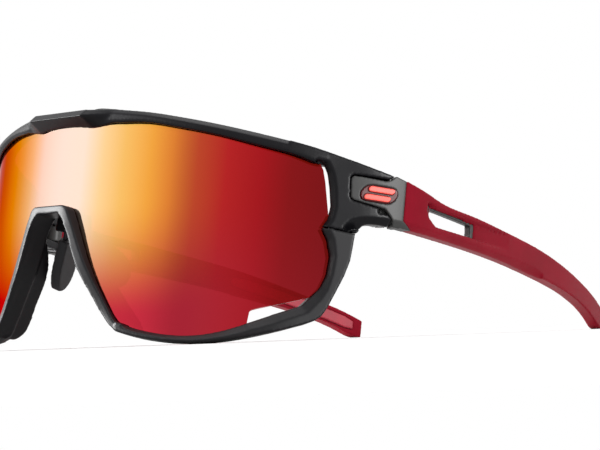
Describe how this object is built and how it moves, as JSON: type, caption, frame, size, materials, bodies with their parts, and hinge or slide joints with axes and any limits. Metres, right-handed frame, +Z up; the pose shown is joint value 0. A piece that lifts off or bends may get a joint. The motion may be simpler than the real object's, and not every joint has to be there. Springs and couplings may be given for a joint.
{
  "type": "wraparound sport sunglasses",
  "caption": "Shield-lens wraparound sport sunglasses with folding window-cut temples, an upper frame bar, a clip-on lower rim and adjustable nose pads.",
  "frame": {"origin": "centre of the bounding box in plan, on the surface the open glasses stand on", "axes": "+X to the wearer's left, +Y from the lens towards the ears, +Z up; the glasses stand open on both lower rims and both ear tips, which leans the front back by 10.5 degrees"},
  "size_m": [0.1428, 0.1609, 0.0606],
  "materials": {
    "frame_black": "satin black nylon",
    "lens_mirror": "orange to red multilayer mirror on tinted polycarbonate",
    "carrier_black": "matt black nylon",
    "screw_steel": "blackened steel",
    "insert_brass": "turned brass",
    "wire_steel": "drawn spring wire",
    "pad_rubber": "soft matt elastomer",
    "core_grey": "satin dark grey nylon",
    "temple_red": "satin red, soft touch",
    "grip_red": "textured red elastomer",
    "badge_pink": "raised salmon inlay"
  },
  "bodies": {
    "front": {"brow_bar": "frame_black", "lower_rim": "frame_black", "shield_lens": "lens_mirror", "nose_carrier": "carrier_black", "hinge_screw_left": "screw_steel", "hinge_screw_right": "screw_steel", "hinge_insert_left": "insert_brass", "hinge_insert_right": "insert_brass"},
    "temple_left": {"temple_core_left": "core_grey", "temple_shell_left": "temple_red", "tip_wire_left": "wire_steel", "tip_grip_left": "grip_red", "badge_left": "badge_pink"},
    "temple_right": {"temple_core_right": "core_grey", "temple_shell_right": "temple_red", "tip_wire_right": "wire_steel", "tip_grip_right": "grip_red", "badge_right": "badge_pink"},
    "nose_arm_left": {"nose_wire_left": "wire_steel", "nose_pad_left": "pad_rubber"},
    "nose_arm_right": {"nose_wire_right": "wire_steel", "nose_pad_right": "pad_rubber"}
  },
  "joints": [
    {"name": "temple_hinge_left", "type": "hinge", "parent": "front", "child": "temple_left", "pos_m": [0.06443, -0.02493, 0.03235], "axis": [0, 0.1822, 0.9833], "range_deg": [0, 90]},
    {"name": "temple_hinge_right", "type": "hinge", "parent": "front", "child": "temple_right", "pos_m": [-0.06443, -0.02493, 0.03235], "axis": [0, -0.1822, -0.9833], "range_deg": [0, 75]},
    {"name": "nose_pad_swivel_left", "type": "hinge", "parent": "front", "child": "nose_arm_left", "pos_m": [0.0034, -0.07074, 0.03108], "axis": [0, 0.9833, -0.1822], "range_deg": [-3, 10]},
    {"name": "nose_pad_swivel_right", "type": "hinge", "parent": "front", "child": "nose_arm_right", "pos_m": [-0.0034, -0.07074, 0.03108], "axis": [0, -0.9833, 0.1822], "range_deg": [-3, 10]}
  ]
}
